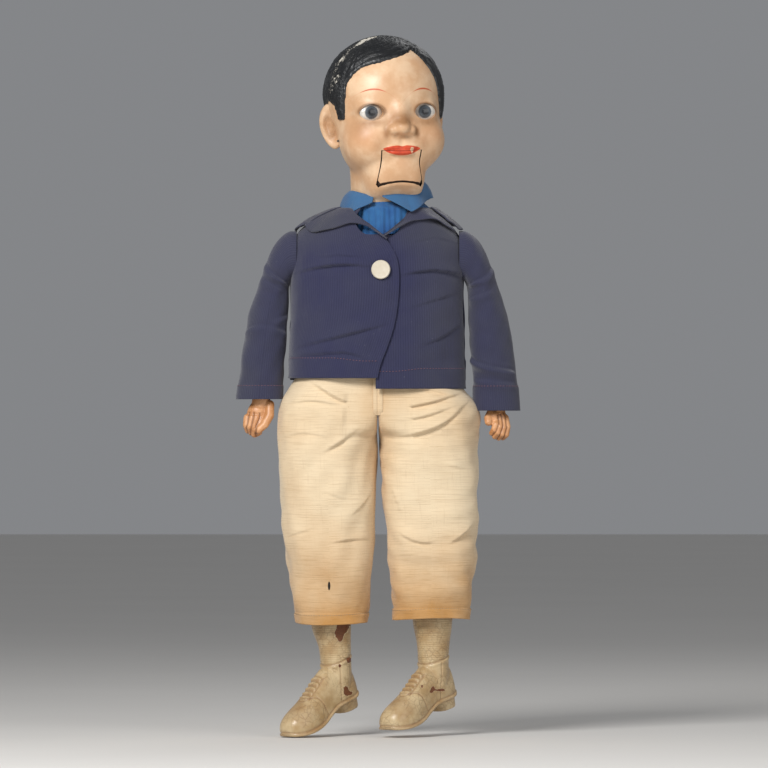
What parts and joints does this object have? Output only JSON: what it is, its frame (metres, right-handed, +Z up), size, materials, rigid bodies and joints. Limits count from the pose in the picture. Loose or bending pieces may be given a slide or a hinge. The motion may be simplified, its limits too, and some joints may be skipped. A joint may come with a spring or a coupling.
{
  "type": "ventriloquist dummy",
  "caption": "Boy ventriloquist dummy with a composition head, moving slot jaw, stuffed jointed body, moulded hands and shoes, and a jacket, shirt and trousers.",
  "frame": {"origin": "at the grip between the shoulders, on the outer face of the jacket's back, where the performer's hand holds the dummy", "axes": "+Z up the hanging figure, -Y the way the figure faces, +X the figure's own left"},
  "size_m": [0.2968, 0.1354, 0.7302],
  "materials": {
    "painted_skin": "oil paint over moulded wood-flour composition, satin, grimed",
    "moulded_hair": "black oil paint over moulded composition, satin, chipped",
    "eye_glass": "painted glass eye, glossy",
    "plaster": "set plaster, matt",
    "brass": "tarnished eyelet",
    "steel_wire": "drawn wire and strip, dull",
    "wood": "turned dowel, unfinished",
    "weight_metal": "cast weight, dull",
    "stuffed_calico": "plain woven cotton over kapok or straw",
    "tie_cord": "twisted cotton cord",
    "blue_cotton": "plain woven shirting, faded",
    "navy_rib_cotton": "fine ribbed cotton, faded",
    "cream_cotton": "crinkled cotton, stained at the hems",
    "painted_hand": "oil paint over composition, worn",
    "painted_shoe": "cream oil paint over composition, crazed and chipped",
    "button_casein": "moulded button, off-white"
  },
  "bodies": {
    "torso_body": {"torso_stuffing": "stuffed_calico", "shirt_front": "blue_cotton", "trouser_seat": "cream_cotton", "jacket_back": "navy_rib_cotton", "jacket_front_left": "navy_rib_cotton", "jacket_front_right": "navy_rib_cotton", "lapel_left": "navy_rib_cotton", "lapel_right": "navy_rib_cotton", "jacket_collar": "navy_rib_cotton", "jacket_button": "button_casein", "neck_cloth": "stuffed_calico", "neck_tie_cord": "tie_cord", "shirt_collar_stand": "blue_cotton", "shirt_collar_right": "blue_cotton", "shirt_collar_left": "blue_cotton"},
    "head_body": {"face_shell": "painted_skin", "skull_shell": "moulded_hair", "eye_right": "eye_glass", "eye_left": "eye_glass", "eye_plaster_right": "plaster", "eye_plaster_left": "plaster", "string_eyelet": "brass", "jaw_pivot_wire": "steel_wire"},
    "jaw_body": {"jaw": "painted_skin", "jaw_bush": "wood", "jaw_lever": "steel_wire", "jaw_counterweight": "weight_metal"},
    "arm_right_body": {"sleeve_upper_right": "navy_rib_cotton", "upper_arm_right": "stuffed_calico"},
    "hand_right_body": {"sleeve_lower_right": "navy_rib_cotton", "forearm_right": "stuffed_calico", "hand_right": "painted_hand"},
    "thigh_right_body": {"trouser_upper_right": "cream_cotton", "thigh_right": "stuffed_calico"},
    "shin_right_body": {"trouser_lower_right": "cream_cotton", "knee_stuffing_right": "stuffed_calico", "lower_leg_right": "painted_shoe"},
    "arm_left_body": {"sleeve_upper_left": "navy_rib_cotton", "upper_arm_left": "stuffed_calico"},
    "hand_left_body": {"sleeve_lower_left": "navy_rib_cotton", "forearm_left": "stuffed_calico", "hand_left": "painted_hand"},
    "thigh_left_body": {"trouser_upper_left": "cream_cotton", "thigh_left": "stuffed_calico"},
    "shin_left_body": {"trouser_lower_left": "cream_cotton", "knee_stuffing_left": "stuffed_calico", "lower_leg_left": "painted_shoe"}
  },
  "joints": [
    {"name": "neck_swivel", "type": "hinge", "parent": "torso_body", "child": "head_body", "pos_m": [0.009, -0.0522, 0.036], "axis": [-0.0262, 0, 0.9997], "range_deg": [-60, 45]},
    {"name": "jaw_hinge", "type": "hinge", "parent": "head_body", "child": "jaw_body", "pos_m": [0.01012, -0.06277, 0.10905], "axis": [0.9609, 0.2756, 0.0252], "range_deg": [0, 14]},
    {"name": "shoulder_right", "type": "hinge", "parent": "torso_body", "child": "arm_right_body", "pos_m": [-0.092, -0.0522, -0.012], "axis": [-1, 0, 0], "range_deg": [-45, 160]},
    {"name": "elbow_right", "type": "hinge", "parent": "arm_right_body", "child": "hand_right_body", "pos_m": [-0.119, -0.0522, -0.092], "axis": [-1, 0, 0], "range_deg": [0, 100]},
    {"name": "hip_right", "type": "hinge", "parent": "torso_body", "child": "thigh_right_body", "pos_m": [-0.054, -0.0522, -0.168], "axis": [-1, 0, 0], "range_deg": [-12, 74]},
    {"name": "knee_right", "type": "hinge", "parent": "thigh_right_body", "child": "shin_right_body", "pos_m": [-0.054, -0.0522, -0.31], "axis": [1, 0, 0], "range_deg": [0, 80]},
    {"name": "shoulder_left", "type": "hinge", "parent": "torso_body", "child": "arm_left_body", "pos_m": [0.092, -0.0522, -0.012], "axis": [-1, 0, 0], "range_deg": [-45, 160]},
    {"name": "elbow_left", "type": "hinge", "parent": "arm_left_body", "child": "hand_left_body", "pos_m": [0.119, -0.0522, -0.092], "axis": [-1, 0, 0], "range_deg": [0, 100]},
    {"name": "hip_left", "type": "hinge", "parent": "torso_body", "child": "thigh_left_body", "pos_m": [0.054, -0.0522, -0.168], "axis": [-1, 0, 0], "range_deg": [-12, 74]},
    {"name": "knee_left", "type": "hinge", "parent": "thigh_left_body", "child": "shin_left_body", "pos_m": [0.054, -0.0522, -0.31], "axis": [1, 0, 0], "range_deg": [0, 80]}
  ]
}
